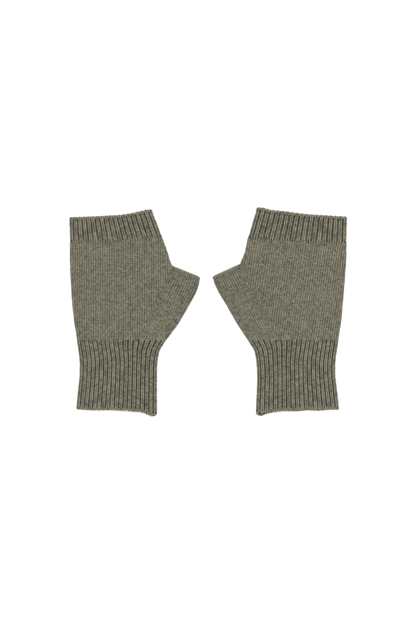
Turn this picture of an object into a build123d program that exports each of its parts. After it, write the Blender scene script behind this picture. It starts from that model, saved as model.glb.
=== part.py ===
from build123d import *
from dataclasses import dataclass
import os

# A pair of knitted fingerless gloves lying flat, side by side, thumbs pointing at each other.
# Millimetres. +Z up, +Y towards the fingers, +X from the left glove to the right glove.
# The origin is on the table, at the centre of the pair's footprint.
#
# Each glove is a set of flattened knitted tubes. A tube is described by stations: a station is a
# line across the glove from its outer fold (little-finger side) to its inner fold (thumb side).

# Fabric
WALL = 1.8             # thickness of one knitted layer
FOLD_THICKNESS = 4.4   # two layers and their bend, at a side fold
FOLD_SLACK = 0.4       # extra inset of the hollow at the side folds
HAND_CROWN = 10.0      # height at the middle of the hand, cuff and finger band
THUMB_CROWN = 9.5      # height at the middle of the thumb, at its opening

# Edges and yarn
CAST_ON_HEIGHT = 2.4   # first course of the cuff, along the glove
BIND_OFF_HEIGHT = 2.8  # last course of the finger band and of the thumb
YARN_RADIUS = 0.55
SEAM_INSET = 4.6       # from the outer fold to the centre of the linking seam
YARN_LIFT = Vector(0, 0, WALL + YARN_RADIUS + 0.1)  # centre of a yarn lying on the lower layer
TAIL_INSET = 5.0       # from the inner fold to a darned-in yarn end
CUFF_TAIL = 24.0       # length of each darned-in yarn end
BAND_TAIL = 14.0
THUMB_TAIL = 20.0
TAIL_CLEARANCE = 2.0   # from the end of a tail to the edge of its piece
STITCH_LENGTH = 5.0    # crotch reinforcement
STITCH_SPACING = 2.0
STITCH_COUNT = 3
STITCH_DROP = 6.0      # from the thumb's bind-off down to the first stitch
STITCH_INSET = 3.4     # from the gusset line to the stitches
THREAD_RADIUS = 0.45   # leftover of the separating thread, caught in the left hem
THREAD_LENGTH = 3.2
THREAD_PLACE = 0.62    # along the hem, from outer to inner fold

# Shared levels along the glove
CUFF_FOLD_Y = -62.5    # where the cuff turns up
CUFF_TOP_Y = -26.5     # where rib changes to plain knitting
CUT_REACH = 260.0      # size of the blocks that trim the hand and thumb at the gusset line
THUMB_LEVELS = (0.30, 0.58, 0.84)   # places along the gusset line, from its foot to the crotch
THUMB_RUN_INS = (6.8, 3.5, 1.3)     # how far the thumb runs past the gusset line there, trimmed off
THUMB_START = 12.5     # the thumb lifts from here up, along the gusset line from its foot
THUMB_GAP = 0.2        # between the lifting thumb and the foot of the gusset


@dataclass
class Station:
    """A line across a flattened tube, with the tube's height at the middle of the line."""
    outer: Vector
    inner: Vector
    crown: float = HAND_CROWN

    def width(self):
        return (self.inner - self.outer).length

    def plane(self):
        across = (self.inner - self.outer).normalized()
        return Plane(origin=self.outer, x_dir=across, z_dir=across.cross(Vector(0, 0, 1)))

    def point(self, across, height):
        """A place on the station: millimetres from the outer fold, and height above the table."""
        return self.plane().from_local_coords(Vector(across, height, 0))


@dataclass
class Glove:
    """The outline of one glove: lines across it as pairs (outer x, y), (inner x, y)."""
    side: str
    hem: tuple
    cuff_fold: tuple
    cuff_waist: tuple
    cuff_flare: tuple
    cuff_top: tuple
    palm_low: tuple
    palm_high: tuple
    knuckles: tuple
    finger_line: tuple
    finger_edge: tuple
    gusset_foot: tuple      # lower end of the gusset line, on the cuff's top
    crotch: tuple           # upper end of the gusset line, between thumb and hand
    thumb_side: tuple       # outer fold of the thumb, from its tip down to the cuff's top


LEFT = Glove(
    side="left",
    hem=((-125.4, -91.7), (-49.0, -98.2)),
    cuff_fold=((-122.4, CUFF_FOLD_Y), (-48.6, CUFF_FOLD_Y)),
    cuff_waist=((-122.0, -46.0), (-48.2, -46.0)),
    cuff_flare=((-122.8, -35.0), (-45.2, -35.0)),
    cuff_top=((-124.2, CUFF_TOP_Y), (-39.5, CUFF_TOP_Y)),
    palm_low=((-126.8, -4.0), (-37.7, -4.0)),
    palm_high=((-129.0, 20.0), (-36.0, 20.0)),
    knuckles=((-130.6, 54.0), (-38.4, 55.0)),
    finger_line=((-131.2, 68.0), (-43.4, 71.7)),
    finger_edge=((-132.0, 89.6), (-53.6, 96.4)),
    gusset_foot=(-66.0, CUFF_TOP_Y),
    crotch=(-33.3, 42.3),
    thumb_side=((-8.0, 31.0), (-11.6, 20.4), (-19.4, 5.2), (-29.0, -11.5), (-39.5, CUFF_TOP_Y)),
)

RIGHT = Glove(
    side="right",
    hem=((124.5, -92.2), (46.0, -98.2)),
    cuff_fold=((120.8, CUFF_FOLD_Y), (46.6, CUFF_FOLD_Y)),
    cuff_waist=((121.0, -46.0), (45.8, -46.0)),
    cuff_flare=((122.2, -35.0), (43.0, -35.0)),
    cuff_top=((123.6, CUFF_TOP_Y), (37.6, CUFF_TOP_Y)),
    palm_low=((126.4, -4.0), (35.6, -4.0)),
    palm_high=((128.6, 20.0), (33.6, 20.0)),
    knuckles=((130.8, 54.0), (34.4, 55.0)),
    finger_line=((131.2, 67.0), (38.2, 70.8)),
    finger_edge=((132.0, 90.0), (46.4, 98.2)),
    gusset_foot=(66.0, CUFF_TOP_Y),
    crotch=(30.4, 44.2),
    thumb_side=((4.8, 31.8), (8.8, 21.6), (17.2, 6.4), (27.2, -11.5), (37.6, CUFF_TOP_Y)),
)


def station(line):
    outer, inner = line
    return Station(Vector(*outer, 0), Vector(*inner, 0))


def between(first, second, share):
    """The station a given share of the way from the first to the second."""
    outer = first.outer + (second.outer - first.outer) * share
    inner = first.inner + (second.inner - first.inner) * share
    return Station(outer, inner, first.crown)


def near_end(start, end, distance):
    """The station a given distance before the end one, measured at mid width."""
    start_middle = (start.outer + start.inner) * 0.5
    end_middle = (end.outer + end.inner) * 0.5
    return between(end, start, distance / (end_middle - start_middle).length)


def outside_outline(at):
    """Flat underneath, round at the side folds, gently crowned on top."""
    width = at.width()
    bend = FOLD_THICKNESS / 2
    low_outer, low_inner = at.point(bend, 0), at.point(width - bend, 0)
    high_outer, high_inner = at.point(bend, FOLD_THICKNESS), at.point(width - bend, FOLD_THICKNESS)
    return Wire([
        Edge.make_line(low_outer, low_inner),
        Edge.make_three_point_arc(low_inner, at.point(width, bend), high_inner),
        Edge.make_three_point_arc(high_inner, at.point(width / 2, at.crown), high_outer),
        Edge.make_three_point_arc(high_outer, at.point(0, bend), low_outer),
    ])


def inside_outline(at):
    """The hollow, one fabric layer in from the outside."""
    width = at.width()
    inset = WALL + FOLD_SLACK
    ceiling = FOLD_THICKNESS - WALL
    low_outer, low_inner = at.point(inset, WALL), at.point(width - inset, WALL)
    high_outer, high_inner = at.point(inset, ceiling), at.point(width - inset, ceiling)
    return Wire([
        Edge.make_line(low_outer, low_inner),
        Edge.make_line(low_inner, high_inner),
        Edge.make_three_point_arc(high_inner, at.point(width / 2, at.crown - WALL), high_outer),
        Edge.make_line(high_outer, low_outer),
    ])


def knitted_tube(stations):
    outside = Solid.make_loft([outside_outline(at) for at in stations])
    hollow = Solid.make_loft([inside_outline(at) for at in stations])
    return outside - hollow


def yarn(start, end):
    """A straight length of yarn."""
    along = end - start
    circle = Plane(origin=start, z_dir=along.normalized()) * Circle(YARN_RADIUS)
    return extrude(circle, amount=along.length)


def seam(stations):
    """The linking seam, a chain of yarn inside the outer fold."""
    rings = []
    for at in stations:
        middle = at.plane()
        middle.origin = at.point(SEAM_INSET, 0) + YARN_LIFT
        rings.append(Wire.make_circle(YARN_RADIUS, middle))
    return Solid.make_loft(rings)


def block_from(origin, towards):
    """A large block with one face upright at the origin, lying on the side that towards points to."""
    block = Box(CUT_REACH, CUT_REACH, CUT_REACH)
    return Plane(origin=origin, x_dir=towards, z_dir=(0, 0, 1)) * Pos(CUT_REACH / 2, 0, 0) * block


def gusset_line(glove):
    """The foot of the gusset line, its direction and length, and the direction from it to the hand."""
    foot = Vector(*glove.gusset_foot, 0)
    run = Vector(*glove.crotch, 0) - foot
    along = run.normalized()
    towards_hand = Vector(-along.Y, along.X, 0) if glove.side == "left" else Vector(along.Y, -along.X, 0)
    return foot, along, run.length, towards_hand


def gusset_point(glove, share, run_in=0.0):
    """A place on the gusset line, from its foot (0) to the crotch (1), moved towards the hand."""
    foot, along, length, towards_hand = gusset_line(glove)
    return foot + along * (length * share) + towards_hand * run_in


def thumb_stations(glove):
    """Across the thumb, from the cuff's top to the thumb's opening, past the gusset line."""
    tip, upper, middle, lower, foot = [Vector(*place, 0) for place in glove.thumb_side]
    lines = [(Vector(*glove.cuff_top[0], 0), foot)]
    for level, run_in, side in zip(THUMB_LEVELS, THUMB_RUN_INS, (lower, middle, upper)):
        lines.append((gusset_point(glove, level, run_in), side))
    lines.append((gusset_point(glove, 1.0), tip))
    drop = (HAND_CROWN - THUMB_CROWN) / (len(lines) - 1)
    return [Station(*line, HAND_CROWN - drop * number) for number, line in enumerate(lines)]


def hand_stations(glove):
    """Across the hand: from the cuff's top to the crotch, and from there to the finger band."""
    thumb = thumb_stations(glove)
    crotch = near_end(thumb[-2], thumb[-1], BIND_OFF_HEIGHT).outer
    low_outer, high_outer = Vector(*glove.palm_high[0], 0), Vector(*glove.knuckles[0], 0)
    level = (crotch.Y - low_outer.Y) / (high_outer.Y - low_outer.Y)
    at_crotch = Station(low_outer + (high_outer - low_outer) * level, crotch)
    lower = [station(glove.cuff_top), station(glove.palm_low), station(glove.palm_high), at_crotch]
    upper = [at_crotch, station(glove.knuckles), station(glove.finger_line)]
    return lower, upper


def crotch_stitches(glove):
    """Short reinforcing stitches inside, on the hand's side of the crotch."""
    stitches = []
    length = gusset_line(glove)[2]
    for number in range(STITCH_COUNT):
        share = 1 - (BIND_OFF_HEIGHT + STITCH_DROP + number * STITCH_SPACING) / length
        start = gusset_point(glove, share, STITCH_INSET + STITCH_LENGTH)
        end = gusset_point(glove, share, STITCH_INSET)
        stitches.append(yarn(start + YARN_LIFT, end + YARN_LIFT))
    return Compound(children=stitches)


def yarn_tail(start, end, inset, length):
    """A darned-in yarn end on the lower layer, running back from the end station."""
    first = near_end(start, end, TAIL_CLEARANCE)
    last = near_end(start, end, TAIL_CLEARANCE + length)
    tip = first.point(first.width() - inset, 0)
    root = last.point(last.width() - inset, 0)
    return yarn(root + YARN_LIFT, tip + YARN_LIFT)


def hem_thread(hem):
    """A scrap of the separating thread lying on the hem."""
    width = hem.width()
    across = THREAD_PLACE * width
    rise = HAND_CROWN - FOLD_THICKNESS
    from_middle = abs(across - width / 2) / (width / 2)
    height = FOLD_THICKNESS + rise * (1 - from_middle ** 2) + THREAD_RADIUS
    towards_fingers = Vector(0, 1, 0)
    start = hem.point(across, height + THREAD_RADIUS / 2)
    circle = Plane(origin=start, z_dir=towards_fingers) * Circle(THREAD_RADIUS)
    return extrude(circle, amount=THREAD_LENGTH)


def make_glove(glove):
    hem, fold = station(glove.hem), station(glove.cuff_fold)
    line, edge = station(glove.finger_line), station(glove.finger_edge)
    cuff_edge = near_end(fold, hem, CAST_ON_HEIGHT)
    band_edge = near_end(line, edge, BIND_OFF_HEIGHT)
    thumb = thumb_stations(glove)
    thumb_edge = near_end(thumb[-2], thumb[-1], BIND_OFF_HEIGHT)
    upper_cuff = [fold, station(glove.cuff_waist), station(glove.cuff_flare), station(glove.cuff_top)]
    lower_hand, upper_hand = hand_stations(glove)
    foot, along, _, towards_hand = gusset_line(glove)
    hand_side = block_from(foot, towards_hand)
    below_thumb = block_from(foot + along * (THUMB_START - THUMB_GAP), -along)
    above_foot = block_from(foot + along * THUMB_START, along)
    strip = knitted_tube(thumb[:2]) + knitted_tube(thumb[1:-1] + [thumb_edge])
    strip = strip - hand_side

    pieces = {
        "cuff_cast_on_edge": knitted_tube([hem, cuff_edge]),
        "cuff_lower": knitted_tube([cuff_edge, fold]),
        "cuff_upper": knitted_tube(upper_cuff),
        "hand_body": (knitted_tube(lower_hand) & hand_side) + knitted_tube(upper_hand)
        + (strip & below_thumb),
        "finger_band": knitted_tube([line, band_edge]),
        "finger_bind_off_edge": knitted_tube([band_edge, edge]),
        "thumb_gusset": strip & above_foot,
        "thumb_bind_off_edge": knitted_tube([thumb_edge, thumb[-1]]),
        "side_seam_cuff": seam([cuff_edge, fold]),
        "side_seam_wrist": seam(upper_cuff),
        "side_seam_hand": seam(lower_hand) + seam(upper_hand),
        "side_seam_finger_band": seam([line, band_edge]),
        "crotch_stitches": crotch_stitches(glove),
        "cuff_yarn_end": yarn_tail(fold, cuff_edge, TAIL_INSET, CUFF_TAIL),
        "finger_band_yarn_end": yarn_tail(line, band_edge, TAIL_INSET, BAND_TAIL),
        "thumb_yarn_end": yarn_tail(thumb[2], thumb_edge, TAIL_INSET, THUMB_TAIL),
    }
    if glove.side == "left":
        pieces["hem_thread"] = hem_thread(hem)
    return pieces


os.makedirs("parts", exist_ok=True)
for glove in (LEFT, RIGHT):
    for name, shape in make_glove(glove).items():
        export_step(shape, f"parts/{glove.side}_{name}.step")
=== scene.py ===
import math

import bpy
import numpy as np
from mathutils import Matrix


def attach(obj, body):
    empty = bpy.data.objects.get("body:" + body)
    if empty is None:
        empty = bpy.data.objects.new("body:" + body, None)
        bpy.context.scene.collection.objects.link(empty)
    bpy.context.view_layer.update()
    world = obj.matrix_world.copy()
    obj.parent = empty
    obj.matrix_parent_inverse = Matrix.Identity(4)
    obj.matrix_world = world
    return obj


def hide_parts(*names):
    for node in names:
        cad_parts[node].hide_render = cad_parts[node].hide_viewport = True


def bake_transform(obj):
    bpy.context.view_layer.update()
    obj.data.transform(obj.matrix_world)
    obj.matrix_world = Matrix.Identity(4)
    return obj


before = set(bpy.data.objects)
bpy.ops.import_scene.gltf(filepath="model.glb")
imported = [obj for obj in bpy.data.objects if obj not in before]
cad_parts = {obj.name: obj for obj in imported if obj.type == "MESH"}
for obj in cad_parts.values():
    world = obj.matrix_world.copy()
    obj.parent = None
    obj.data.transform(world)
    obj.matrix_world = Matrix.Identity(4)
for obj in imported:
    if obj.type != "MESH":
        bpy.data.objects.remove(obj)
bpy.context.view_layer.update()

MM = 0.001

# ------------------------------------------------------------------ dimensions, millimetres
CUFF_FOLD_Y = -62.5         # where the cuff turns up
CUFF_TOP_Y = -26.5          # where the cuff's rib ends
BEND = 1.3                  # radius of a side fold, at the middle of the cloth
BOTTOM = 0.9                # height of the lower layer's middle
PUFF = 5.6                  # how far the top layer rises above a side fold
WRIST_SHARE = 0.47          # share of that rise which the hand has at the cuff
THUMB_PUFF = 4.4            # how far the thumb's top layer rises at its mouth
FOOT_PUFF = 0.1 * PUFF      # the same at the foot of the gusset line
LINE_RISE = 4.85            # how far that foot lies above a side fold
RIB_INSET = 0.8             # from the outline to the middle of the cloth
PLAIN_INSET = 0.7
FLARE_START = 0.4           # share of the way to the inner fold where a tube that widens fans out
MOUTH_REACH = 0.1           # the thumb's mouth flattens beside the crotch, over these shares
MOUTH_SHARE = 0.2           # of its length and its width
TIP_ROUNDING = 0.7          # how far the outer corner of the mouth is drawn in, over these shares
TIP_REACH = 0.08
TIP_SHARE = 0.12

RIB_WALES = 76              # stitch columns round the cuff and the finger band
CUFF_LOWER_COURSES = 20
CUFF_UPPER_COURSES = 21
BAND_COURSES = 13
CROTCH_COURSES = 39         # from the cuff to the crotch
HAND_COURSES = 57           # from the cuff to the finger band
STRIP_WALES = 13            # stitch columns across the thumb, on each face
HAND_PITCH = 2.2            # width of a stitch column of the hand
COURSE_HEIGHT = 1.7
SPLIT_COURSE = 29           # the hand's knitting is two pieces, split here
EDGE_COURSES = 1.5          # courses that an edge takes up
HEM_START = 0.4             # courses that the cast-on edge covers
CHAIN_COVER = 0.3           # courses that a bound-off chain covers
BAND_CHAIN_DROP = 0.35      # from the last course's top to the middle of the finger band's chain

YARN = 0.46                 # radius of the yarn
RIB_YARN = 0.58
EDGE_YARN = 0.56
SEAM_YARN = 0.42
WOUND_YARN = 0.8 * SEAM_YARN
TAIL_YARN = 0.45
TAIL_PLY = 0.6 * TAIL_YARN
THREAD_YARN = 0.50
PLY_TURN = 2.4              # length of one twist of the yarn
LOOP_STEPS = 8              # points along the yarn for each stitch
EDGE_STEPS = 10
YARN_SIDES = 5

# one stitch, in stitch columns and courses, or millimetres out of the cloth
LOOP_HEIGHT = 0.80          # of a course, above and below its middle
LOOP_WIDTH = 0.21           # how far a loop's head is wider than its neck, in stitch columns
LOOP_DEPTH = 0.36
GATHER = 0.085              # how far a plain stitch's two legs lean together, in stitch columns
RIB_DEPTH = 0.80            # how far knit columns stand forward and purl ones back
RIB_SPREAD = 0.21           # how much of a purl column the knit columns cover
RIB_STEEPNESS = 2.4         # how suddenly a knit column turns into a purl one
END_TUCK = 0.15             # how deep a course's end lies at the gusset line
END_REACH = 0.2             # how far it passes that line, in stitch columns
HEIGHT_JITTER = 0.08        # how unlike each other the stitches are
SIDE_JITTER = 0.05
DEPTH_JITTER = 0.10
RIB_UNEVEN = (0.12, 0.05)   # a cloth's unevenness: in height, and of its stitches' places
PLAIN_UNEVEN = (0.24, 0.08)

# tones, added to the yarn's own: above 0 is lighter. Some are random, and others are painted light and
# shade, as said beside each
TONE_JITTER = 0.9
CROSSING_SHADE = 0.8         # painted shade: how much darker the yarn is where loops cross, lying deep behind the legs
COLUMN_LIGHT_AND_SHADE = 0.9           # painted highlight and shade: how much lighter a plain column's middle is, and darker its sides, in the grooves between columns
RIB_TONE = 0.25
GROOVE_SHADE = 1.35          # painted shade: how much darker the purl columns, sunk between the knit ribs, are where the rib isn't stretched
GROOVE_OPENING = 3.0        # how much less that painted shade is, for each millimetre that a column is wider
SLACK_WALE = 2.3            # width of a column of the rib before it is stretched
GROOVE_FADE = 0.7           # how much less the painted shade darkens the purl columns where the finger band starts
FADE_COURSES = 5.0
RIB_EDGE_SHADE = 0.6        # how much darker the course under a bound-off chain is
PLAIN_EDGE_SHADE = 1.2
# the core's tone below is painted shade, darker than any yarn
CORE_SHADE = -1.0
FIBRE_TONE = 0.8
TAIL_TONE = 0.2
CHAIN_LIGHT_AND_SHADE = (0.3, 0.5)     # of an edge's yarn: its middle, and how it swings, as a painted highlight on each bump of the chain and painted shade between them
HEM_TONE = (0.5, 0.3)

# edges
SCALLOP = 0.26              # how far a bound-off edge waves, in courses; a hem waves twice that
CHAIN_WIDTH = 0.55          # how far a chain's loops swing, in stitch columns and courses
CHAIN_HEIGHT = 0.42
CHAIN_DEPTH = (0.35, 0.45)  # how far they stand out: their middle, and how it swings
HEM_LEVEL = 0.3             # of the cast-on strands, in courses
HEM_TWIST = 0.52            # how far the two strands lie from their middle
HEM_JITTER = 0.06           # how unlike that is from one stitch to the next
HEM_LIFT = 0.3              # how far that middle follows the ribs in and out

# loose fibres
FIBRE = 0.028               # radius of a loose fibre
FIBRES = 0.11               # loose fibres for each square millimetre
FIBRE_POINTS = 5
FIBRE_TURN = 2.2            # most that one bends, in radians
FIBRE_LENGTH = (1.0, 3.2)
FIBRE_REACH = (0.15, 0.75)  # how far one stands off the yarn
FIBRE_ROOT = 0.45

# the cloth's core: it fills the gaps between the loops as the wool's fuzz does, and its dark colour is
# painted shade
LINER = 0.12                # half its thickness
CORE_CLEARANCE = 0.1        # least height of its outer face over the table, half its inner face's
CORE_DEPTH = 0.1            # how far its middle lies behind the loops' middle
CORE_RIBBING = 0.9          # share of the rib's depth that it follows
RIB_CORE_STEPS = 4          # points for each stitch column
PLAIN_CORE_STEPS = 72       # points across the whole cloth

# yarn inside the gloves
INNER_FACE = 2.45           # height of yarn lying on the inside of the lower layer
SEAM_INSET = 4.6            # from the outer fold
SEAM_STEPS = 8              # points for each course
SEAM_TURNS = 0.8            # of the wound yarn, for each course
SEAM_WIDTH = 1.1
SEAM_LIFT = 0.3
TAIL_INSET = 5.0            # from the inner fold
TAIL_WAVE = 0.35            # how far a yarn end wanders from its line
TAIL_SWING = 1.1            # how fast it does, in radians for each millimetre
TAIL_DROP = 2.5             # from a piece's edge to the yarn end inside it, in courses
CUFF_TAIL = 13.0            # lengths of the yarn ends, in courses
BAND_TAIL = 7.5
THUMB_TAIL = 11.5
STITCH_LENGTH = 5.0         # the stitches inside the crotch
STITCH_SPACING = 2.0
STITCH_DROP = 8.8
STITCH_INSET = 3.4
STITCH_WAVE = 0.1
THREAD_WALE = 21.8          # where the scrap of thread is caught in the left hem
THREAD_WALES = 1.4          # how many columns it crosses
THREAD_LEVEL = 0.35         # of its ends, in courses
THREAD_DROP = 0.9           # how far its middle hangs below them, in courses
THREAD_DEPTH = (0.5, 0.7)   # how far it stands out: its ends, and how much more its middle

BEND_REACH = 8.0            # how far the bend line reaches on each side of a turned edge
THUMB_BEND_REACH = 25.0     # how far the thumb's bend line reaches


class Glove:
    """One glove: points (x, y) up its outer fold, its inner fold and its thumb.

    hem, fingers and finger_line say how far an edge lies above the straight line between its two
    corners, as (share of the way from the outer fold, millimetres). back says how far the hem's
    lower layer lies above that. lean is the slope of the hand's stitch columns, in x for each y.
    """

    def __init__(self, side, **shape):
        self.side = side
        self.turn = 1.0 if side == "left" else -1.0
        self.seed = 1.0 if side == "left" else 6.0
        for name, value in shape.items():
            setattr(self, name, np.array(value, float))


LEFT = Glove(
    "left",
    outer=[(-125.8, -91.7), (-122.6, -62.5), (-122.4, -46.0), (-125.0, -26.5), (-128.4, -4.0),
           (-130.5, 20.0), (-131.9, 54.0), (-131.8, 68.0), (-132.1, 89.6)],
    cuff_inner=[(-48.3, -98.2), (-48.5, -62.5), (-47.7, -46.0), (-45.2, -35.0), (-39.8, -26.5)],
    hand_inner=[(-32.8, 43.2), (-35.0, 47.0), (-37.9, 56.0), (-43.4, 71.7)],
    band_inner=[(-43.4, 71.7), (-53.2, 96.6)],
    foot=(-66.0, -26.5), crotch=(-32.8, 43.2),
    thumb=[(-39.8, -26.5), (-28.5, -11.5), (-18.6, 5.2), (-10.4, 20.4), (-6.8, 32.7)],
    lean=0.0,
    hem=[(0, 0.4), (0.2, 0.9), (0.45, 2.7), (0.7, 2.9), (0.84, 2.5), (0.91, 0.5), (0.96, -0.2),
         (1, 1.6)],
    back=[(0, 0), (1, 0)],
    fingers=[(0, 0.4), (0.14, -0.3), (0.45, -1.6), (0.72, -1.6), (0.88, 0.2), (0.96, 1.0), (1, 0.6)],
    finger_line=[(0, -0.8), (0.5, -2.0), (1, 0)])
RIGHT = Glove(
    "right",
    outer=[(125.2, -92.2), (121.6, -62.5), (121.6, -46.0), (124.4, -26.5), (127.7, -4.0),
           (129.7, 20.0), (132.1, 54.0), (132.4, 67.0), (132.6, 90.0)],
    cuff_inner=[(45.3, -98.2), (46.8, -62.5), (45.7, -46.0), (43.2, -35.0), (37.9, -26.5)],
    hand_inner=[(29.6, 45.0), (34.0, 55.0), (37.7, 70.8)],
    band_inner=[(37.7, 70.8), (46.0, 98.2)],
    foot=(66.0, -26.5), crotch=(29.6, 45.0),
    thumb=[(37.9, -26.5), (27.8, -11.5), (17.5, 6.4), (8.5, 21.6), (3.6, 33.2)],
    lean=0.146,
    hem=[(0, 0.4), (0.2, 1.8), (0.3, 2.7), (0.5, 2.4), (0.72, 3.3), (0.82, 2.6), (0.9, 2.9),
         (0.95, 3.0), (1, 3.2)],
    back=[(0, 0), (0.1, -0.2), (0.28, -1.5), (0.45, -0.2), (0.82, -0.3), (0.9, -2.0), (0.95, -3.1),
          (1, -1.2)],
    fingers=[(0, 0.5), (0.15, 0.0), (0.45, -1.0), (0.7, -0.3), (0.86, 0.2), (0.93, 1.2), (0.97, 1.4),
             (1, 0.6)],
    finger_line=[(0, -0.6), (0.5, -1.6), (1, 0)])


# ------------------------------------------------------------------ curves and unevenness
def follow(keys, values, at):
    """A smooth curve through (key, value) pairs, carried on straight past its ends."""
    keys, values, at = np.asarray(keys, float), np.asarray(values, float), np.asarray(at, float)
    slope = np.gradient(values, keys)
    span = np.clip(np.searchsorted(keys, at) - 1, 0, len(keys) - 2)
    width = keys[span + 1] - keys[span]
    t = np.clip((at - keys[span]) / width, 0, 1)
    curve = ((2 * t**3 - 3 * t**2 + 1) * values[span] + (t**3 - 2 * t**2 + t) * width * slope[span]
             + (3 * t**2 - 2 * t**3) * values[span + 1] + (t**3 - t**2) * width * slope[span + 1])
    below, above = np.minimum(at - keys[0], 0), np.maximum(at - keys[-1], 0)
    return curve + below * slope[0] + above * slope[-1]


def fold_line(points, share):
    """Points (x, y) on the smooth line through the given ones, by their share of its height."""
    points = np.asarray(points, float)
    y = points[0, 1] + (points[-1, 1] - points[0, 1]) * np.asarray(share, float)
    return np.stack([follow(points[:, 1], points[:, 0], y), y], axis=-1)


def between_levels(points, low, high):
    """The stretch of a line of points between two levels of y."""
    inside = points[(points[:, 1] > low + 0.01) & (points[:, 1] < high - 0.01)]
    ends = [(follow(points[:, 1], points[:, 0], y), y) for y in (low, high)]
    return np.vstack([ends[0], inside, ends[1]])


def ease(t):
    t = np.clip(t, 0, 1)
    return t * t * (3 - 2 * t)


def scatter(*keys):
    """A repeatable value from -1 to 1 for each set of keys, with no order in it."""
    total = sum(np.asarray(key, float) * (12.9898 + 65.233 * n) for n, key in enumerate(keys))
    value = np.sin(total) * 43758.5453
    return 2 * (value - np.floor(value)) - 1


def swell(x, y, seed):
    """A slow unevenness over the cloth, about -1 to 1, from a place in millimetres.

    It is three waves whose lengths don't fit each other, so that it never repeats.
    """
    return (np.sin(x / 17.0 + seed) * np.sin(y / 23.0 + 2.1 * seed)
            + 0.5 * np.sin(x / 7.3 - y / 9.1 + 3.7 * seed)
            + 0.35 * np.sin(x / 4.1 + y / 5.3 + seed)) / 1.85


# ------------------------------------------------------------------ the shape of the cloth
def half_girth(outer, inner, inset, closed=1.0):
    """Half the way round a flattened tube, or the width of each layer where it isn't closed."""
    width = np.linalg.norm(inner - outer, axis=-1) - inset * (1 + closed)
    return width - BEND * (1 + closed) + math.pi / 2 * BEND * (1 + closed)


def section(around, outer, inner, inset, rise, closed=1.0):
    """Points on the middle of a flattened tube, their shares of the way to its inner fold, and
    whether they lie on its top layer.

    around is the distance from the outer fold: over the top layer, round the inner fold and back
    underneath. Where closed is 0 the tube has no inner fold, and its two layers end there.
    """
    length = np.linalg.norm(inner - outer, axis=-1)
    across = (inner - outer) / length[..., None]
    width = length - inset * (1 + closed)
    quarter = math.pi / 2 * BEND
    half = half_girth(outer, inner, inset, closed)
    around = np.mod(around + 1e-9, 2 * half)
    on_top = around < half
    run = np.where(on_top, around, 2 * half - around)
    at_outer = run < quarter
    at_inner = (run > half - quarter) & (closed > 0.5)
    turn = np.clip(np.where(at_inner, half - run, run) / BEND, 0, math.pi / 2)
    a = np.where(at_outer, BEND * (1 - np.cos(turn)), BEND + run - quarter)
    a = np.where(at_inner, width - BEND * (1 - np.cos(turn)), a)
    lift = np.where(at_outer | at_inner, BEND * np.sin(turn), BEND)
    share = np.clip(a / width, 0, 1)
    z = BOTTOM + BEND + np.where(on_top, lift * (1 + rise(share) / BEND), -lift)
    flat = outer + across * (inset + a)[..., None]
    return np.concatenate([flat, z[..., None]], axis=-1), share, on_top


class Tube:
    """The cuff or the finger band: ribbed, with the same stitch columns all the way up.

    A purl column lies on each side fold, so that a whole knit rib shows beside it.
    """

    ribbed = True
    inset = RIB_INSET

    def __init__(self, glove, outer, inner, courses, low=None, high=None):
        self.glove = glove
        self.outer, self.inner = outer, inner
        self.courses = courses
        self.low, self.high = low, high
        self.narrow = half_girth(fold_line(outer, 0.0), fold_line(inner, 0.0), self.inset)
        stretch = max(float(self.narrow) * 2 / RIB_WALES - SLACK_WALE, 0)
        # how deep the painted shade in the purl grooves is, less where the rib is stretched open
        self.groove = GROOVE_SHADE - GROOVE_OPENING * stretch
        self.flat_start = high is not None

    def lines(self, v):
        return fold_line(self.outer, v / self.courses), fold_line(self.inner, v / self.courses)

    def point(self, u, v):
        outer, inner = self.lines(v)
        half = half_girth(outer, inner, self.inset)
        turn = np.mod((u + 1) / RIB_WALES, 1.0)
        share = 1 - np.abs(1 - 2 * turn)
        flare = np.clip(half - self.narrow, 0, None)
        run = share * (half - flare) + flare * share * ease((share - FLARE_START) / (1 - FLARE_START))
        around = np.where(turn < 0.5, run, 2 * half - run)
        p, across, on_top = section(around, outer, inner, self.inset, self.rise)
        up = v / self.courses
        if self.low is not None:
            drop = follow(*self.low.T, across)
            drop = drop + np.where(on_top, 0, follow(*self.glove.back.T, across)) * (self.high is None)
            p[..., 1] = p[..., 1] + drop * (1 - up)
        if self.high is not None:
            p[..., 1] = p[..., 1] + follow(*self.high.T, across) * up
        return p

    def rise(self, share):
        return PUFF * (1 - (2 * share - 1) ** 2)

    def columns(self, v):
        return 0.0, float(RIB_WALES)


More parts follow.
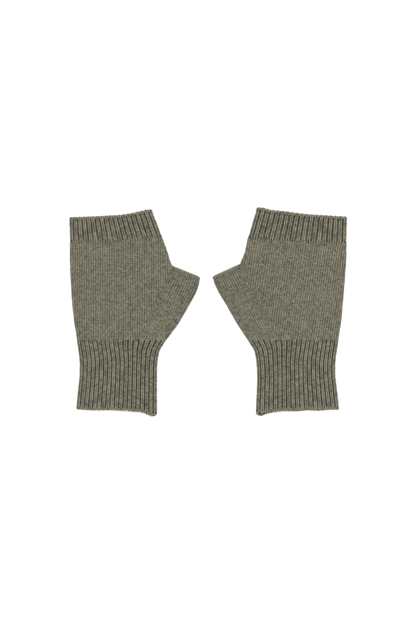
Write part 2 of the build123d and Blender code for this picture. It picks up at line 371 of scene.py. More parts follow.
class Hand:
    """The plain-knit hand, open along the gusset line up to the crotch and closed above it."""

    ribbed = False
    inset = PLAIN_INSET
    courses = HAND_COURSES

    def __init__(self, glove):
        self.glove = glove
        self.outer = between_levels(glove.outer, CUFF_TOP_Y, glove.outer[-2][1])
        self.middle = (glove.outer[3][0] + glove.foot[0]) / 2

    def lines(self, v):
        outer = fold_line(self.outer, v / HAND_COURSES)
        low = np.minimum(v / CROTCH_COURSES, 1)[..., None]
        high = np.maximum(v - CROTCH_COURSES, 0) / (HAND_COURSES - CROTCH_COURSES)
        line = self.glove.foot + (self.glove.crotch - self.glove.foot) * low
        return outer, np.where(low < 1, line, fold_line(self.glove.hand_inner, high))

    def closed(self, v):
        return np.where(v < CROTCH_COURSES, 0.0, 1.0)

    def reference(self, outer):
        """How far round from the outer fold one straight stitch column lies."""
        column = self.middle + self.glove.lean * (outer[..., 1] - CUFF_TOP_Y)
        return np.abs(column - outer[..., 0]) - self.inset + (math.pi / 2 - 1) * BEND

    def point(self, u, v):
        """u counts stitch columns from the straight one, towards the thumb on the top layer."""
        v = np.asarray(v, float)
        outer, inner = self.lines(v)
        low = np.clip(v / CROTCH_COURSES, 0, 1)
        hump = PUFF * (WRIST_SHARE + (1 - WRIST_SHARE) * low)

        def rise(share):
            return LINE_RISE * (1 - low) * share + hump * 4 * share * (1 - share)
        around = self.reference(outer) + u * HAND_PITCH
        p, across, _ = section(around, outer, inner, self.inset, rise, self.closed(v))
        p[..., 1] = p[..., 1] + follow(*self.glove.finger_line.T, across) * ease(v / HAND_COURSES)
        return p

    def columns(self, v):
        v = np.asarray(v, float)
        outer, inner = self.lines(v)
        half, start = half_girth(outer, inner, self.inset, self.closed(v)), self.reference(outer)
        return -(half + start) / HAND_PITCH, (half - start) / HAND_PITCH


class Strip:
    """The thumb and its gusset, from the cuff to the mouth, open along the gusset line."""

    ribbed = False
    inset = PLAIN_INSET
    courses = CROTCH_COURSES

    def __init__(self, glove):
        self.glove = glove

    def lines(self, v):
        share = v / self.courses
        line = self.glove.foot + (self.glove.crotch - self.glove.foot) * share[..., None]
        return line, fold_line(self.glove.thumb, share)

    def point(self, u, v):
        """u counts stitch columns from the gusset line over the top layer, and back underneath."""
        v = np.asarray(v, float)
        line, side = self.lines(v)
        low = np.clip(v / self.courses, 0, 1)
        hump = FOOT_PUFF + (THUMB_PUFF - FOOT_PUFF) * low

        def rise(across):
            return LINE_RISE * (1 - low) * across + hump * 4 * across * (1 - across)
        half = half_girth(side, line, self.inset, 0.0)
        p, across, _ = section(half * (1 - u / STRIP_WALES), side, line, self.inset, rise, 0.0)
        mouth = ease((low - (1 - MOUTH_REACH)) / MOUTH_REACH)
        mouth = mouth * ease((across - (1 - MOUTH_SHARE)) / MOUTH_SHARE)
        p[..., 2] = p[..., 2] + (BOTTOM + BEND - p[..., 2]) * mouth
        tip = ease((low - (1 - TIP_REACH)) / TIP_REACH) * ease((TIP_SHARE - across) / TIP_SHARE)
        inward = unit(line - side) - unit(self.glove.crotch - self.glove.foot)
        p[..., :2] = p[..., :2] + inward * (TIP_ROUNDING * tip)[..., None]
        return p

    def columns(self, v):
        nothing = np.zeros_like(np.asarray(v, float))
        return nothing, nothing + 2 * STRIP_WALES


class Uneven:
    """A cloth whose height and stitches wander a little."""

    def __init__(self, cloth, seed):
        self.cloth, self.seed = cloth, seed
        self.height, self.wander = RIB_UNEVEN if cloth.ribbed else PLAIN_UNEVEN
        self.courses, self.columns, self.ribbed = cloth.courses, cloth.columns, cloth.ribbed
        self.closed = isinstance(cloth, Tube)

    def point(self, u, v):
        u, v = np.broadcast_arrays(np.asarray(u, float), np.asarray(v, float))
        edge = ease(v / 2) * ease((self.courses - v) / 2)
        p = self.cloth.point(u + self.wander * swell(v * 3.1, u * 1.7, self.seed),
                             v + edge * self.wander * swell(u * 2.3, v * 2.9, self.seed + 1.3))
        above = np.clip((p[..., 2] - BOTTOM - BEND) / BEND, 0, 1)
        p[..., 2] = p[..., 2] + self.height * swell(p[..., 0], p[..., 1], self.seed) * above
        return p

    def frame(self, u, v):
        """Places, and directions straight out of the cloth, along it and up it.

        Past the ends of an open cloth the places go on straight, and the directions stay those
        a little inside it.
        """
        u, v = np.broadcast_arrays(np.asarray(u, float), np.asarray(v, float))
        step = 0.05
        inside, at = u, u
        if not self.closed:
            low, high = self.columns(v)
            inside = np.clip(u, low + 0.4, high - 0.4)
            at = np.clip(u, low + 0.02, high - 0.02)
        along = self.point(inside + step, v) - self.point(inside - step, v)
        up = self.point(inside, v + step) - self.point(inside, v - step)
        out = np.cross(along, up) * self.cloth.glove.turn
        p = self.point(at, v) + unit(along) * ((u - at) * HAND_PITCH)[..., None]
        return p, unit(out), unit(along), unit(up)


def unit(vectors):
    """The vectors, each made one long."""
    return vectors / np.maximum(np.linalg.norm(vectors, axis=-1), 1e-9)[..., None]


# ------------------------------------------------------------------ meshes of yarn
class Yarns:
    """Collects lengths of yarn, each a tube lying no lower than the table, into one mesh."""

    def __init__(self):
        self.points, self.faces, self.sizes = [], [], []
        self.tone, self.lay = [], []
        self.total = 0

    def add(self, path, out, radius, closed=False, tone=0.0, sides=YARN_SIDES, taper=False):
        """One yarn along a path. Its tone, which holds both random tone and painted light and shade, and
        its lay, which places the twist of its plies, are kept with each of its points, for the material."""
        path = np.array(path, float)
        path[:, 2] = np.maximum(path[:, 2], radius)
        count = len(path)
        tangent = (np.roll(path, -1, 0) - np.roll(path, 1, 0)) if closed else np.gradient(path, axis=0)
        tangent = unit(tangent)
        side = unit(np.cross(tangent, out))
        out = np.cross(side, tangent)
        angle = 2 * math.pi * np.arange(sides) / sides
        ring = np.cos(angle)[:, None] * out[:, None, :] + np.sin(angle)[:, None] * side[:, None, :]
        thick = np.full(count, radius)
        if taper:
            thick = radius * np.clip(1.05 - np.arange(count) / count, 0.2, 1)
        i = np.arange(count if closed else count - 1)[:, None]
        j = (i + 1) % count
        k = np.arange(sides)[None, :]
        m = (k + 1) % sides
        quads = np.stack([i * sides + k, i * sides + m, j * sides + m, j * sides + k], -1).reshape(-1, 4)
        self.points.append((path[:, None, :] + ring * thick[:, None, None]).reshape(-1, 3))
        self.faces.append(quads.ravel() + self.total)
        self.sizes.append(np.full(len(quads), 4))
        if not closed:
            for cap in (np.arange(sides)[::-1], np.arange(sides) + (count - 1) * sides):
                self.faces.append(cap + self.total)
                self.sizes.append(np.array([sides]))
        length = np.concatenate([[0], np.cumsum(np.linalg.norm(np.diff(path, axis=0), axis=1))])
        lay = np.stack(np.broadcast_arrays(np.cos(angle), np.sin(angle), length[:, None]), -1)
        self.lay.append(lay.reshape(-1, 3))
        self.tone.append(np.repeat(np.broadcast_to(tone, count), sides))
        self.total += count * sides

    def mesh(self, name):
        return new_mesh(name, np.concatenate(self.points), np.concatenate(self.faces),
                        np.concatenate(self.sizes), np.concatenate(self.tone), np.concatenate(self.lay))


def new_mesh(name, points, corners, sizes, tone, lay):
    """A mesh from points in millimetres and the corners of its faces, one face after the other."""
    mesh = bpy.data.meshes.new(name)
    mesh.vertices.add(len(points))
    mesh.vertices.foreach_set("co", (points * MM).astype(np.float32).ravel())
    mesh.loops.add(len(corners))
    mesh.loops.foreach_set("vertex_index", corners.astype(np.int32))
    mesh.polygons.add(len(sizes))
    mesh.polygons.foreach_set("loop_start", (np.cumsum(sizes) - sizes).astype(np.int32))
    mesh.polygons.foreach_set("use_smooth", np.ones(len(sizes), bool))
    mesh.update(calc_edges=True)
    mesh.validate()
    # the kept tone holds random tone together with painted light and shade
    mesh.attributes.new("tone", "FLOAT", "POINT").data.foreach_set("value", tone.astype(np.float32))
    mesh.attributes.new("lay", "FLOAT_VECTOR", "POINT").data.foreach_set(
        "vector", lay.astype(np.float32).ravel())
    obj = bpy.data.objects.new(name, mesh)
    bpy.context.scene.collection.objects.link(obj)
    return obj


def rib_sign(u):
    """1 on the knit columns and -1 on the purl columns."""
    return np.clip(np.cos(math.pi * u) * RIB_STEEPNESS, -1, 1)


def course_path(cloth, row):
    """The yarn of one course: loops whose legs come forward and whose heads lie behind."""
    low, high = (float(x) for x in cloth.columns(float(row) + 0.5))
    if not cloth.closed:
        low, high = low - END_REACH, high + END_REACH
    count = max(int(round((high - low) * LOOP_STEPS)), 4)
    u = low + (high - low) * np.arange(count + (not cloth.closed)) / count
    phase = 2 * math.pi * (u - (0 if cloth.ribbed else 0.5))
    stitch = np.round(u * 2)
    height = LOOP_HEIGHT * (1 + HEIGHT_JITTER * scatter(stitch, row))
    depth = -LOOP_DEPTH * np.cos(2 * phase)
    x = u + LOOP_WIDTH * np.sin(2 * phase) + SIDE_JITTER * scatter(stitch, row + 0.5)
    # painted shade where the loops cross and lie deep, on top of a random tone for each stitch
    tone = TONE_JITTER * scatter(stitch, row + 0.25) - CROSSING_SHADE * np.cos(phase) ** 2
    if cloth.ribbed:
        sign = rib_sign(u)
        depth = depth * sign + RIB_DEPTH * sign
        x = x + RIB_SPREAD * np.sin(math.pi * u)
        # painted shade in the purl columns' grooves, weaker where the finger band starts
        opening = 1 - GROOVE_FADE * (1 - ease(row / FADE_COURSES)) * cloth.cloth.flat_start
        tone = tone + RIB_TONE - cloth.cloth.groove * opening * (1 - sign) / 2
    else:
        x = x + GATHER * np.sin(2 * math.pi * u)
        # painted highlight on each plain column's middle, painted shade in the grooves at its sides
        tone = tone - COLUMN_LIGHT_AND_SHADE * np.cos(2 * math.pi * u)
    depth = depth + DEPTH_JITTER * scatter(stitch, row + 0.75)
    if not cloth.closed:
        depth = depth - END_TUCK * (1 - ease(np.minimum(u - low, high - u)))
    p, out, _, _ = cloth.frame(x, row + 0.5 + height * np.cos(phase))
    return p + out * depth[:, None], out, tone


def knit(name, cloth, first, last):
    """The yarn of several courses, each its own length."""
    yarns = Yarns()
    for row in range(first, last):
        path, out, tone = course_path(cloth, row)
        yarns.add(path, out, RIB_YARN if cloth.ribbed else YARN, cloth.closed, tone)
    return yarns.mesh(name)


def fuzz(name, cloth, low, high, seed):
    """Loose fibres standing a little off the surface, each a bent hair."""
    yarns = Yarns()
    random = np.random.RandomState(int(seed * 10))
    first, last = (float(x) for x in cloth.columns(float(low + high) / 2))
    area = (last - first) * (high - low) * HAND_PITCH * COURSE_HEIGHT
    count = int(area * FIBRES)
    v = random.uniform(low, high, count)
    first, last = cloth.columns(v)
    u = first + (last - first) * random.uniform(0, 1, count)
    p, out, along, up = cloth.frame(u, v)
    heading = random.uniform(0, 2 * math.pi, count)
    turn = random.uniform(-FIBRE_TURN, FIBRE_TURN, count)
    length = random.uniform(*FIBRE_LENGTH, count)
    long_ones = ease((length - 2) / 2)
    reach = random.uniform(*FIBRE_REACH, count) * (1 - long_ones * 0.4)
    front = RIB_DEPTH if cloth.ribbed else 0.1
    s = np.linspace(0, 1, FIBRE_POINTS)
    for n in range(count):
        angle = heading[n] + turn[n] * s
        step = np.cos(angle)[:, None] * along[n] + np.sin(angle)[:, None] * up[n]
        flat = np.cumsum(step, axis=0) * length[n] / FIBRE_POINTS
        rise = FIBRE_ROOT + reach[n] * np.sin(math.pi * s * 0.8)
        path = p[n] + out[n] * front + flat + rise[:, None] * out[n]
        yarns.add(path, np.tile(out[n], (FIBRE_POINTS, 1)), FIBRE, tone=FIBRE_TONE, sides=3)
    return yarns.mesh(name)


def shade_core(name, cloth, low, high):
    """The cloth's core: a thin closed sheet that fills the gaps between the loops, as the wool's fuzz
    does; its dark colour is painted shade.
    """
    rows = max(int(round(high - low)), 2)
    across = RIB_WALES * RIB_CORE_STEPS if cloth.ribbed else PLAIN_CORE_STEPS
    v = np.linspace(low, high, rows + 1)[:, None] + np.zeros((1, across + 1))
    first, last = cloth.columns(v)
    u = first + (last - first) * np.linspace(0, 1, across + 1)[None, :]
    p, out, _, _ = cloth.frame(u, v)
    ribbing = rib_sign(u) * RIB_DEPTH * CORE_RIBBING if cloth.ribbed else np.zeros_like(u)
    depth = ribbing - CORE_DEPTH
    faces_out = p + out * (depth + LINER)[..., None]
    faces_in = p + out * (depth - LINER)[..., None]
    grid = np.arange((rows + 1) * (across + 1)).reshape(rows + 1, across + 1)
    a, b, c, d = grid[:-1, :-1], grid[:-1, 1:], grid[1:, 1:], grid[1:, :-1]
    quads = [np.stack([a, b, c, d], -1), np.stack([a, d, c, b], -1) + grid.size]
    for edge in (grid[0], grid[-1][::-1], grid[:, 0][::-1], grid[:, -1]):
        other = edge + grid.size
        quads.append(np.stack([edge[1:], edge[:-1], other[:-1], other[1:]], -1))
    corners = np.concatenate([q.reshape(-1, 4) for q in quads])
    if cloth.cloth.glove.turn < 0:
        corners = corners[:, ::-1]
    faces_out[..., 2] = np.maximum(faces_out[..., 2], CORE_CLEARANCE)
    faces_in[..., 2] = np.maximum(faces_in[..., 2], 2 * CORE_CLEARANCE)
    points = np.concatenate([faces_out.reshape(-1, 3), faces_in.reshape(-1, 3)])
    count = len(points)
    # every point of the core keeps a tone of painted shade
    return new_mesh(name, points, corners.ravel(), np.full(len(corners), 4),
                    np.full(count, CORE_SHADE), np.zeros((count, 3)))


def chain_edge(name, cloth, v):
    """A bound-off edge: one course and a chain of loops lying along its top."""
    yarns = Yarns()
    low, high = (float(x) for x in cloth.columns(cloth.courses - 0.01))
    path, out, tone = course_path(cloth, cloth.courses - 1)
    shade = RIB_EDGE_SHADE if cloth.ribbed else PLAIN_EDGE_SHADE
    yarns.add(path, out, YARN, cloth.closed, tone - shade)
    steps = int((high - low) * EDGE_STEPS)
    u = low + (high - low) * np.arange(steps) / steps
    t = 2 * math.pi * u
    beads = np.cos(math.pi * u) if cloth.ribbed else np.cos(t)
    wave = SCALLOP * beads
    p, out, _, _ = cloth.frame(u + CHAIN_WIDTH * np.sin(t), v + CHAIN_HEIGHT * np.cos(t) + wave)
    middle, swing = CHAIN_DEPTH
    depth = middle + swing * np.sin(2 * t + 0.6) + HEIGHT_JITTER * scatter(np.round(u), 7)
    # painted highlight on each bump of the chain, painted shade between the bumps
    tone, change = CHAIN_LIGHT_AND_SHADE
    yarns.add(p + out * depth[:, None], out, EDGE_YARN, cloth.closed, tone + change * beads)
    return yarns.mesh(name)


def cast_on_edge(name, cloth):
    """A cast-on edge: two strands twisted round each other along the hem."""
    yarns = Yarns()
    path, out, tone = course_path(cloth, 0)
    yarns.add(path, out, YARN, True, tone)
    steps = RIB_WALES * EDGE_STEPS
    u = RIB_WALES * np.arange(steps) / steps
    tone, change = HEM_TONE
    for strand in range(2):
        t = 2 * math.pi * (u + strand / 2)
        p, out, _, up = cloth.frame(u, HEM_LEVEL - 2 * SCALLOP * np.cos(math.pi * u))
        reach = HEM_TWIST + HEM_JITTER * scatter(np.round(u), strand)
        depth = reach * np.cos(t) + HEM_LIFT * np.cos(math.pi * u)
        centre = p + out * depth[:, None] + up * (reach * np.sin(t))[:, None]
        yarns.add(centre, out, EDGE_YARN, True, tone + change * scatter(np.round(u), strand + 5))
    return yarns.mesh(name)


def inside_point(cloth, v, inset):
    """A place on the inside of the lower layer, a distance from its outer fold, or if negative
    from its inner one."""
    outer, inner = cloth.lines(np.asarray(v, float))
    flat = (outer if inset > 0 else inner) + unit(inner - outer) * inset
    return np.concatenate([flat, np.full(flat.shape[:-1] + (1,), INNER_FACE)], -1)


def seam(name, cloth, low, high):
    """The linking seam inside the outer fold: one yarn laid straight and one wound round it."""
    yarns = Yarns()
    v = np.linspace(low, high, int((high - low) * SEAM_STEPS))
    middle = inside_point(cloth, v, SEAM_INSET)
    out = np.tile([0.0, 0.0, 1.0], (len(v), 1))
    side = np.cross(unit(np.gradient(middle, axis=0)), out)
    t = 2 * math.pi * v * SEAM_TURNS
    yarns.add(middle - out * SEAM_LIFT / 2, out, SEAM_YARN)
    wound = middle + side * (SEAM_WIDTH * np.cos(t))[:, None] + out * (SEAM_LIFT * np.sin(t))[:, None]
    yarns.add(wound, out, WOUND_YARN)
    return yarns.mesh(name)


def tail(yarns, start, end, wave=TAIL_WAVE):
    """A yarn end darned in: two plies in a shallow wave, growing thinner towards the tip."""
    start, end = np.array(start, float), np.array(end, float)
    length = np.linalg.norm(end - start)
    s = np.linspace(0, 1, max(int(length * 2), 8))
    direction = (end - start) / length
    side = np.cross(direction, (0, 0, 1))
    out = np.tile([0.0, 0.0, 1.0], (len(s), 1))
    for ply in range(2):
        t = 2 * math.pi * s * length / PLY_TURN + ply * math.pi
        swing = wave * np.sin(s * length * TAIL_SWING)
        middle = start + (end - start) * s[:, None] + side * swing[:, None]
        turn = side * np.cos(t)[:, None] + out * np.sin(t)[:, None]
        yarns.add(middle + turn * TAIL_YARN / 2, out, TAIL_PLY, taper=True, tone=TAIL_TONE)
    return yarns


def darned_end(name, cloth, tip, length):
    """The yarn end of one piece of knitting, run back inside from its edge."""
    ends = inside_point(cloth, np.array([tip - length, tip]), -TAIL_INSET)
    return tail(Yarns(), ends[0], ends[1]).mesh(name)


def crotch_stitches(name, glove):
    """Three short reinforcing stitches inside, on the hand's side of the crotch."""
    yarns = Yarns()
    line = glove.crotch - glove.foot
    length = np.linalg.norm(line)
    towards_hand = np.array([-line[1], line[0]]) / length * glove.turn
    for number in range(3):
        place = glove.foot + line * (1 - (STITCH_DROP + number * STITCH_SPACING) / length)
        start = place + towards_hand * (STITCH_INSET + STITCH_LENGTH)
        end = place + towards_hand * STITCH_INSET
        tail(yarns, (*start, INNER_FACE), (*end, INNER_FACE), wave=STITCH_WAVE)
    return yarns.mesh(name)


def hem_thread(name, cloth):
    """A scrap of the bright separating thread, caught in the hem."""
    yarns = Yarns()
    s = np.linspace(0, 1, 9)
    arch = np.sin(math.pi * s)
    ends, bulge = THREAD_DEPTH
    p, out, _, _ = cloth.frame(THREAD_WALE + THREAD_WALES * s, THREAD_LEVEL - THREAD_DROP * arch)
    yarns.add(p + out * (ends + bulge * arch)[:, None], out, THREAD_YARN)
    return yarns.mesh(name)


# ------------------------------------------------------------------ materials
# colours of a yarn: in shadow, dark, light, and of its flecks
WOOL_COLOURS = ((0.032, 0.029, 0.019), (0.135, 0.127, 0.087),
                (0.37, 0.353, 0.255), (0.205, 0.17, 0.118))
# the core's colours are painted shade, as dark as the deep gaps between the loops
CORE_SHADE_COLOURS = ((0.02, 0.018, 0.012), (0.03, 0.028, 0.019),
                (0.06, 0.055, 0.04), (0.04, 0.032, 0.022))
THREAD_COLOURS = ((0.35, 0.42, 0.05), (0.55, 0.65, 0.08),
                  (0.75, 0.85, 0.15), (0.6, 0.75, 0.1))
DARK_STOP = 0.35            # tone at which the dark colour lies
TONE_LEVEL = 0.46           # tone of a yarn before anything is added to it
TONE_STRENGTH = 0.30        # of the tone kept with each point
PLY_GROOVE_SHADE = 0.25             # painted shade: how much lighter a ply is than the groove between two
PLY_SHARPNESS = 2.2
FIBRE_NOISE, FIBRE_AMOUNT = (1700.0, 3.0, 0.7), 0.9     # scale, detail, roughness
CLOUD_NOISE, CLOUD_AMOUNT = (90.0, 2.0, 0.5), 0.2
SPECK_NOISE, SPECK_AMOUNT = (950.0, 2.0, 0.5), 0.8
FLECK_NOISE = (610.0, 2.0, 0.5)
FLECK_LEVEL = 0.52
FLECK_CONTRAST = 2.2


def node(tree, kind, **inputs):
    """A new shader node, with some of its inputs or settings given."""
    made = tree.nodes.new("ShaderNode" + kind)
    for name, value in inputs.items():
        setting = name.replace("_", " ")
        if setting in made.inputs:
            made.inputs[setting].default_value = value
        else:
            setattr(made, name, value)
    return made


def maths(tree, operation, first, second=None, clamp=False):
    """The output of a new maths node, from numbers or other nodes' outputs."""
    made = tree.nodes.new("ShaderNodeMath")
    made.operation, made.use_clamp = operation, clamp
    for socket, value in zip(made.inputs, (first, second)):
        if isinstance(value, (int, float)):
            socket.default_value = value
        elif value is not None:
            tree.links.new(value, socket)
    return made.outputs[0]


def noise(tree, scale, detail, roughness):
    place = tree.nodes.new("ShaderNodeTexCoord").outputs["Object"]
    made = node(tree, "TexNoise", Scale=scale, Detail=detail, Roughness=roughness)
    tree.links.new(place, made.inputs["Vector"])
    return made.outputs["Fac"]


def ply_groove(tree):
    """0 in the groove between a yarn's two plies and 1 on each ply, from the yarn's lay."""
    lay = tree.nodes.new("ShaderNodeAttribute")
    lay.attribute_name = "lay"
    part = tree.nodes.new("ShaderNodeSeparateXYZ")
    tree.links.new(lay.outputs["Vector"], part.inputs[0])
    twist = maths(tree, "MULTIPLY", part.outputs["Z"], 2 * math.pi / PLY_TURN)
    ply = maths(tree, "ADD",
                maths(tree, "MULTIPLY", part.outputs["X"], maths(tree, "COSINE", twist)),
                maths(tree, "MULTIPLY", part.outputs["Y"], maths(tree, "SINE", twist)))
    ply = maths(tree, "ABSOLUTE", ply)
    return maths(tree, "MINIMUM", maths(tree, "MULTIPLY", ply, PLY_SHARPNESS), 1.0)


def wool(name, colours, sheen):
    """Two-ply wool: heathered fibres, grooves between the plies, and painted shade in those grooves and
    where a loop lies deep.
    """
    shadow, dark, light, fleck = colours
    material = bpy.data.materials.new(name)
    material.use_nodes = True
    tree = material.node_tree
    link = tree.links.new
    shader = tree.nodes["Principled BSDF"]
    # groove is 0 in the groove between the plies and 1 on each ply: it paints shade in the groove, and
    # gives the bump's height
    groove = ply_groove(tree)
    kept = tree.nodes.new("ShaderNodeAttribute")
    kept.attribute_name = "tone"
    fibre, cloud, speck = (noise(tree, *kind) for kind in (FIBRE_NOISE, CLOUD_NOISE, SPECK_NOISE))
    tone = maths(tree, "MULTIPLY", kept.outputs["Fac"], TONE_STRENGTH)
    for amount, value in ((FIBRE_AMOUNT, fibre), (CLOUD_AMOUNT, cloud), (SPECK_AMOUNT, speck)):
        change = maths(tree, "MULTIPLY", maths(tree, "SUBTRACT", value, 0.5), amount)
        tone = maths(tree, "ADD", tone, change)
    # painted shade in the groove between the plies
    tone = maths(tree, "ADD", tone, maths(tree, "MULTIPLY", groove, PLY_GROOVE_SHADE))
    tone = maths(tree, "ADD", tone, TONE_LEVEL, clamp=True)
    ramp = tree.nodes.new("ShaderNodeValToRGB")
    stops = ramp.color_ramp.elements
    stops[0].position, stops[0].color = 0.0, (*shadow, 1)
    stops[1].position, stops[1].color = 1.0, (*light, 1)
    stops.new(DARK_STOP).color = (*dark, 1)
    link(tone, ramp.inputs["Fac"])
    mix = node(tree, "Mix", data_type="RGBA")
    above = maths(tree, "SUBTRACT", noise(tree, *FLECK_NOISE), FLECK_LEVEL)
    link(maths(tree, "MULTIPLY", above, FLECK_CONTRAST, clamp=True), mix.inputs["Factor"])
    link(ramp.outputs["Color"], mix.inputs["A"])
    mix.inputs["B"].default_value = (*fleck, 1)
    link(mix.outputs["Result"], shader.inputs["Base Color"])
    rough = maths(tree, "ADD", maths(tree, "MULTIPLY", fibre, 0.25), 0.72, clamp=True)
    link(rough, shader.inputs["Roughness"])
    shader.inputs["Sheen Weight"].default_value = sheen
    shader.inputs["Sheen Roughness"].default_value = 0.5
    shader.inputs["Specular IOR Level"].default_value = 0.25
    bump = node(tree, "Bump", Strength=0.7, Distance=0.00025)
    link(maths(tree, "ADD", groove, maths(tree, "MULTIPLY", fibre, 0.7)), bump.inputs["Height"])
    link(bump.outputs["Normal"], shader.inputs["Normal"])
    return material


# ------------------------------------------------------------------ camera, light and floor
# millimetres for the camera's own sizes, and metres for what is in front of it
CAMERA_LENS = 85.0
CAMERA_FILM = 36.0
FRAME_HEIGHT = 0.5928       # of the surface that fills the picture
FRAME_LEVEL = 0.007         # height of that surface over the table
CAMERA_AIM = 0.0005         # y of the picture's middle
KEY_LAMP = ("key", 0.8, 31, (-1.3, 1.3, 1.6))       # name, size, watts, place
FILL_LAMP = ("fill", 1.2, 18, (1.5, 0.2, 1.3))
SKY_STRENGTH = 0.56
FLOOR_SIZE = 6
FLOOR_GREY = 0.4
FLOOR_GLOW = 0.8            # makes the paper floor white without a bright lamp on the wool
WHITE = (1, 1, 1, 1)


def make_camera():
    """Straight above the gloves, looking down."""
    data = bpy.data.cameras.new("camera")
    data.lens, data.sensor_width, data.sensor_fit = CAMERA_LENS, CAMERA_FILM, "AUTO"
    obj = bpy.data.objects.new("camera", data)
    obj.location = (0, CAMERA_AIM, FRAME_HEIGHT * CAMERA_LENS / CAMERA_FILM + FRAME_LEVEL)
    bpy.context.scene.collection.objects.link(obj)
    bpy.context.scene.camera = obj


def make_lamp(name, size, energy, place):
    """A square soft lamp that faces the middle of the table."""
    data = bpy.data.lights.new(name, "AREA")
    data.shape, data.size, data.energy = "SQUARE", size, energy
    obj = bpy.data.objects.new(name, data)
    obj.location = place
    x, y, z = place
    obj.rotation_euler = (math.atan2(math.hypot(x, y), z), 0, math.atan2(y, x) + math.pi / 2)
    bpy.context.scene.collection.objects.link(obj)


def make_floor():
    bpy.ops.mesh.primitive_plane_add(size=FLOOR_SIZE, location=(0, 0, 0))
    floor = bpy.context.object
    floor.name = "floor"
    material = bpy.data.materials.new("floor")
    material.use_nodes = True
    shader = material.node_tree.nodes["Principled BSDF"]
    shader.inputs["Base Color"].default_value = (FLOOR_GREY, FLOOR_GREY, FLOOR_GREY, 1)
    shader.inputs["Roughness"].default_value = 0.9
    shader.inputs["Emission Color"].default_value = WHITE
    shader.inputs["Emission Strength"].default_value = FLOOR_GLOW
    floor.data.materials.append(material)
    return floor


def make_sky():
    world = bpy.data.worlds.new("world")
    world.use_nodes = True
    background = world.node_tree.nodes["Background"]
    background.inputs["Color"].default_value = WHITE
    background.inputs["Strength"].default_value = SKY_STRENGTH
    bpy.context.scene.world = world
    bpy.context.scene.view_settings.view_transform = "Standard"


# ------------------------------------------------------------------ the gloves
make_camera()
make_sky()
make_lamp(*KEY_LAMP)
make_lamp(*FILL_LAMP)
floor = make_floor()

WOOL = wool("wool", WOOL_COLOURS, sheen=0.25)
# the core's material: dark wool whose colours are painted shade
CORE = wool("wool core", CORE_SHADE_COLOURS, sheen=0.0)
THREAD = wool("scrap thread", THREAD_COLOURS, sheen=0.1)


def dress(piece, glove, body, nodes, material=WOOL, bend=None):
    """Gives a finished mesh its material and its body, and hides the CAD nodes that it stands for.

    With a bend, a start and an end, the piece gets no body: its place is only baked into its mesh.
    """
    piece.data.materials.append(material)
    if bend is None:
        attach(piece, f"{glove.side}_{body}")
    else:
        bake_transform(piece)
    if nodes:
        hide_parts(*[f"{glove.side}_{n}" for n in nodes])
    return piece


def make_cloth(glove, name, cloth, seed, low, high, spans, body, nodes, bend=None):
    """One area of knitting: its core, returned as the sheet, and its yarn."""
    side = glove.side
    cloth = Uneven(cloth, seed)
    sheet = dress(shade_core(f"{side}_{name}_core", cloth, low, high), glove, body, (), CORE, bend)
    knits = []
    for label, first, last in spans:
        piece = knit(f"{side}_{name}_{label}", cloth, first, last)
        knits.append(dress(piece, glove, body, nodes, WOOL, bend))
    hairs = fuzz(f"{side}_{name}_fuzz", cloth, low, high, seed)
    knits.append(dress(hairs, glove, body, (), WOOL, bend))
    return cloth, sheet, knits


def declare(cloth, low, high):
    """Works out the sheet's width round the tube at nine levels, and its length, and keeps neither."""
    v = np.linspace(low, high, 9)
    first, last = cloth.columns(v)
    u = first + (last - first) * np.linspace(0, 1, 60)[:, None]
    girth = np.linalg.norm(np.diff(cloth.point(u, v), axis=0), axis=-1).sum(axis=0)
    middle = (first + last) / 2
    length = np.linalg.norm(np.diff(cloth.point(middle, v), axis=0), axis=-1).sum()


def make_cuff(glove, bend):
    """The part of the cuff that turns up, with its hem."""
    side = glove.side
    outer = between_levels(glove.outer, glove.outer[0][1], CUFF_FOLD_Y)
    tube = Tube(glove, outer, glove.cuff_inner[:2], CUFF_LOWER_COURSES, low=glove.hem)
    cloth, sheet, knits = make_cloth(
        glove, "cuff_lower", tube, glove.seed, HEM_START, CUFF_LOWER_COURSES,
        [("knit", 1, CUFF_LOWER_COURSES)], "cuff", ["cuff_lower"], bend)
    edge = dress(cast_on_edge(f"{side}_cast_on_edge", cloth), glove, "cuff", ["cuff_cast_on_edge"])
    dress(seam(f"{side}_cuff_seam", tube, EDGE_COURSES, CUFF_LOWER_COURSES), glove, "cuff",
          ["side_seam_cuff"], bend=bend)
    dress(darned_end(f"{side}_cuff_end", tube, CUFF_TAIL + TAIL_DROP, CUFF_TAIL), glove, "cuff",
          ["cuff_yarn_end"])
    if side == "left":
        dress(hem_thread("left_thread", cloth), glove, "cuff", ["hem_thread"], THREAD)
    declare(cloth, HEM_START, CUFF_LOWER_COURSES)


def make_wrist(glove, bend):
    """The part of the cuff above its fold."""
    outer = between_levels(glove.outer, CUFF_FOLD_Y, CUFF_TOP_Y)
    tube = Tube(glove, outer, glove.cuff_inner[1:], CUFF_UPPER_COURSES)
    cloth, sheet, knits = make_cloth(
        glove, "cuff_upper", tube, glove.seed + 1, 0, CUFF_UPPER_COURSES,
        [("knit", 0, CUFF_UPPER_COURSES)], "cuff", ["cuff_upper"], bend)
    dress(seam(f"{glove.side}_wrist_seam", tube, 0, CUFF_UPPER_COURSES), glove, "cuff",
          ["side_seam_wrist"], bend=bend)
    declare(cloth, 0, CUFF_UPPER_COURSES)


def make_hand(glove, bend):
    """The plain hand, with the stitches inside its crotch."""
    side = glove.side
    hand = Hand(glove)
    cloth, sheet, knits = make_cloth(
        glove, "hand", hand, glove.seed + 2, 0, HAND_COURSES,
        [("palm_knit", 0, SPLIT_COURSE), ("knuckle_knit", SPLIT_COURSE, HAND_COURSES)],
        "finger_band", ["hand_body"], bend)
    dress(seam(f"{side}_hand_seam", hand, 0, HAND_COURSES), glove, "finger_band", ["side_seam_hand"],
          bend=bend)
    dress(crotch_stitches(f"{side}_inner_stitches", glove), glove, "hand", ["crotch_stitches"])
    declare(cloth, 0, HAND_COURSES)


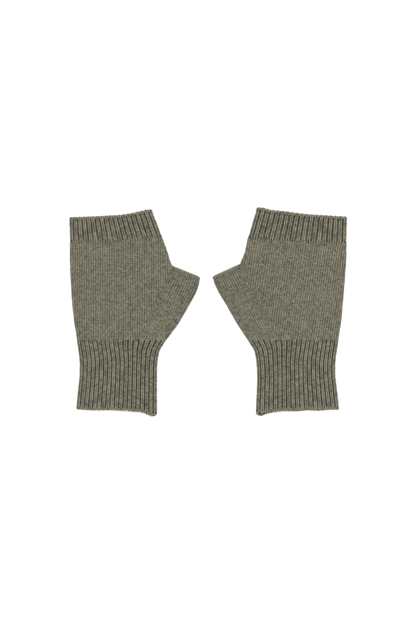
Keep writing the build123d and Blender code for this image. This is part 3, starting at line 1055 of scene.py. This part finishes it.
def make_finger_band(glove, bend):
    """The ribbed band round the fingers, with its bound-off edge."""
    side = glove.side
    tube = Tube(glove, glove.outer[-2:], glove.band_inner, BAND_COURSES, low=glove.finger_line,
                high=glove.fingers)
    top = BAND_COURSES - CHAIN_COVER
    cloth, sheet, knits = make_cloth(
        glove, "finger_band", tube, glove.seed + 3, 0, top, [("knit", 0, BAND_COURSES - 1)],
        "finger_band", ["finger_band"], bend)
    edge = dress(chain_edge(f"{side}_finger_edge", cloth, BAND_COURSES - BAND_CHAIN_DROP), glove,
                 "finger_band", ["finger_bind_off_edge"])
    dress(seam(f"{side}_band_seam", tube, 0, BAND_COURSES - EDGE_COURSES), glove, "finger_band",
          ["side_seam_finger_band"], bend=bend)
    dress(darned_end(f"{side}_band_end", tube, BAND_COURSES - TAIL_DROP, BAND_TAIL), glove,
          "finger_band", ["finger_band_yarn_end"], bend=bend)
    declare(cloth, 0, top)


def make_thumb(glove, bend):
    """The thumb and its gusset, with its bound-off edge."""
    side = glove.side
    strip = Strip(glove)
    top = CROTCH_COURSES - CHAIN_COVER
    cloth, sheet, knits = make_cloth(
        glove, "thumb", strip, glove.seed + 4, 0, top, [("knit", 0, CROTCH_COURSES - 1)],
        "thumb", ["thumb_gusset"], bend)
    edge = dress(chain_edge(f"{side}_thumb_edge", cloth, top), glove, "thumb", ["thumb_bind_off_edge"],
                 bend=bend)
    dress(darned_end(f"{side}_thumb_end", strip, CROTCH_COURSES - TAIL_DROP, THUMB_TAIL), glove,
          "thumb", ["thumb_yarn_end"], bend=bend)
    declare(cloth, 0, top)


def make_glove(glove):
    """Each bend is a line from where it starts to where it ends, in metres."""
    cuff_middle = (glove.outer[1][0] + glove.cuff_inner[1][0]) / 2
    cuff_bend = [(cuff_middle * MM, (CUFF_FOLD_Y + reach) * MM, 0) for reach in (BEND_REACH, -BEND_REACH)]
    line = glove.band_inner[0] - glove.outer[-2]
    up = unit(np.array([-line[1], line[0]]) * glove.turn)
    band_bend = [(*((glove.outer[-2] + up * reach) * MM), 0) for reach in (-BEND_REACH, BEND_REACH)]
    inner = glove.crotch - glove.thumb[0]
    out = unit(np.array([inner[1], -inner[0]])) * glove.turn
    thumb_bend = [(*((glove.thumb[0] + out * reach) * MM), 0) for reach in (0, THUMB_BEND_REACH)]
    make_cuff(glove, cuff_bend)
    make_wrist(glove, cuff_bend)
    make_hand(glove, band_bend)
    make_finger_band(glove, band_bend)
    make_thumb(glove, thumb_bend)


for glove in (LEFT, RIGHT):
    make_glove(glove)
